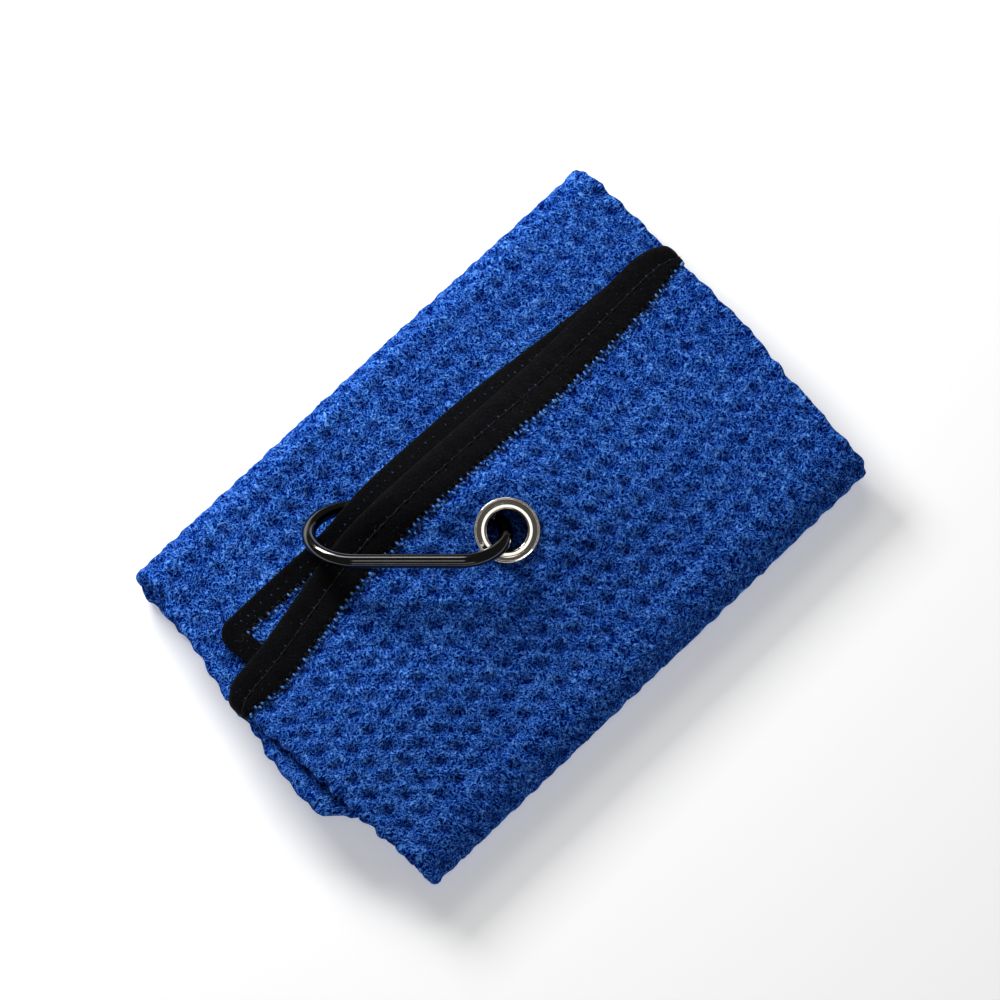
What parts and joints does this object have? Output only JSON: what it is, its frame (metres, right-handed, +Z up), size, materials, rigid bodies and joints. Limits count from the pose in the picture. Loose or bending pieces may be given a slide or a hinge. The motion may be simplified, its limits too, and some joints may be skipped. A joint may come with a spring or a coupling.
{
  "type": "golf towel",
  "caption": "Square waffle-weave golf towel, folded in three and wrapped into a bundle, with a grommet in its hem and a spring-gate clip through the grommet.",
  "frame": {"origin": "middle of the underside of the folded bundle's bounding box", "axes": "+X along the bundle's long side, +Y towards the side that the top flap's hem faces, +Z up"},
  "size_m": [0.1506, 0.0978, 0.027],
  "materials": {
    "waffle_cloth": "matte looped microfibre pile in a waffle weave",
    "binding": "matte knitted edge binding",
    "grommet": "polished nickel plate",
    "clip": "polished black nickel plate",
    "steel": "plain spring steel"
  },
  "bodies": {
    "towel": {"cloth_bundle": "waffle_cloth", "bottom_binding": "binding", "left_binding_bundle": "binding", "right_binding_bundle": "binding"},
    "flap": {"cloth_flap": "waffle_cloth", "top_binding": "binding", "left_binding_flap": "binding", "right_binding_flap": "binding", "grommet_eyelet": "grommet", "grommet_washer": "grommet"},
    "clip": {"clip_frame": "clip", "gate_pivot_pin": "steel"},
    "gate": {"clip_gate": "clip", "gate_nose_pin": "steel", "gate_plunger": "steel", "gate_spring": "steel"}
  },
  "joints": [
    {"name": "flap_lift", "type": "hinge", "parent": "towel", "child": "flap", "pos_m": [0.00254, -0.04128, 0.01605], "axis": [1, 0, 0], "range_deg": [0, 110]},
    {"name": "clip_swing", "type": "hinge", "parent": "flap", "child": "clip", "pos_m": [-0.00145, -0.00458, 0.01871], "axis": [0.2185, 0.2185, -0.9511], "range_deg": [0, 12]},
    {"name": "gate_open", "type": "hinge", "parent": "clip", "child": "gate", "pos_m": [-0.00454, 0.00902, 0.0135], "axis": [0.4056, 0.4056, 0.8192], "range_deg": [0, 8], "stiffness_Nm_per_rad": 0.05, "springref_deg": -17.19}
  ]
}
